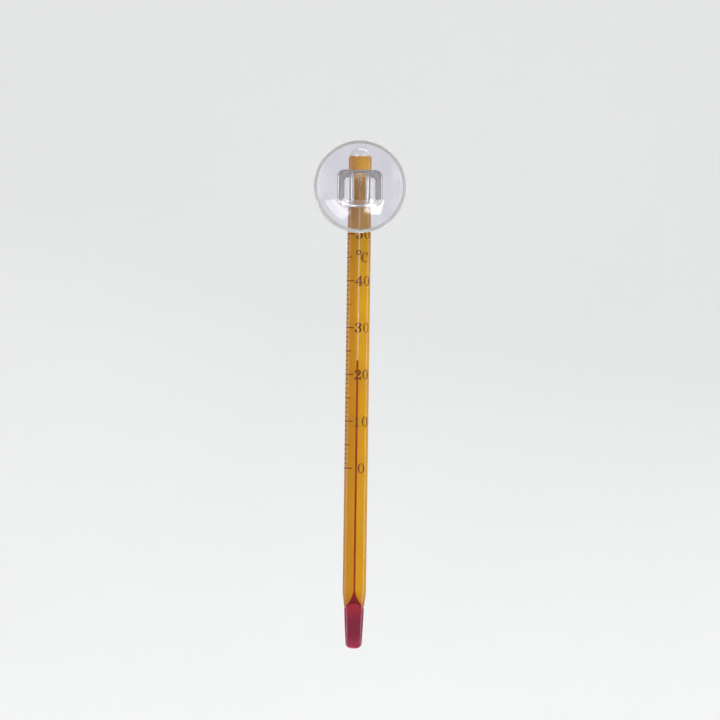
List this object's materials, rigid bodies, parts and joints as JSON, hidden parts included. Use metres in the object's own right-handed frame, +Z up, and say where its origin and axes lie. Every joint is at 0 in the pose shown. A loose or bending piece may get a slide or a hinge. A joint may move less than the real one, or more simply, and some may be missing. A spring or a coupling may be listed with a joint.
{
  "type": "aquarium thermometer",
  "caption": "Glass spirit thermometer with a yellow enamel back, printed Celsius scale and dyed bulb, held by a clear suction cup with a collar.",
  "frame": {"origin": "centre of the suction cup's rim, in the plane of the pane that it holds to", "axes": "+Z up along the stem, -Y towards the pane and the reader, +X to the reader's right"},
  "size_m": [0.0272, 0.0181, 0.1511],
  "materials": {
    "soft_pvc": "clear soft plastic, smooth and slightly milky",
    "stem_glass": "clear, fire polished",
    "yellow_enamel": "opaque yellow enamel inside the glass",
    "dyed_spirit": "red dyed alcohol",
    "fired_ink": "dark brown fired print"
  },
  "bodies": {
    "suction_dish": {"suction_dish": "soft_pvc"},
    "collar": {"stem_collar": "soft_pvc"},
    "spirit": {"spirit_reservoir": "dyed_spirit", "spirit_thread": "dyed_spirit"},
    "stem": {"glass_stem": "stem_glass", "glass_bulb": "stem_glass", "enamel_strip": "yellow_enamel", "mark_00_degrees": "fired_ink", "mark_05_degrees": "fired_ink", "mark_10_degrees": "fired_ink", "mark_15_degrees": "fired_ink", "mark_20_degrees": "fired_ink", "mark_25_degrees": "fired_ink", "mark_30_degrees": "fired_ink", "mark_35_degrees": "fired_ink", "mark_40_degrees": "fired_ink", "mark_45_degrees": "fired_ink", "mark_50_degrees": "fired_ink", "figure_00_tens": "fired_ink", "figure_10_tens": "fired_ink", "figure_10_units": "fired_ink", "figure_20_tens": "fired_ink", "figure_20_units": "fired_ink", "figure_30_tens": "fired_ink", "figure_30_units": "fired_ink", "figure_40_tens": "fired_ink", "figure_40_units": "fired_ink", "figure_50_tens": "fired_ink", "figure_50_units": "fired_ink", "figure_celsius": "fired_ink", "figure_degree_ring": "fired_ink"},
    "column_top": {"spirit_column_top": "dyed_spirit"}
  },
  "joints": [
    {"name": "cup_press", "type": "slide", "parent": "suction_dish", "child": "collar", "axis": [0, -1, 0], "range_m": [0, 0.0025], "stiffness_N_per_m": 2000, "deforming": ["suction_dish"]},
    {"name": "stem_slide", "type": "slide", "parent": "collar", "child": "spirit", "axis": [0, 0, 1], "range_m": [-0.004, 0.114]},
    {"name": "stem_turn", "type": "hinge", "parent": "spirit", "child": "stem", "pos_m": [0, 0.0126, 0], "axis": [0, 0, 1], "continuous": true},
    {"name": "spirit_rise", "type": "slide", "parent": "spirit", "child": "column_top", "axis": [0, 0, 1], "range_m": [-0.0322, 0.0378], "deforming": ["spirit_thread"]}
  ]
}
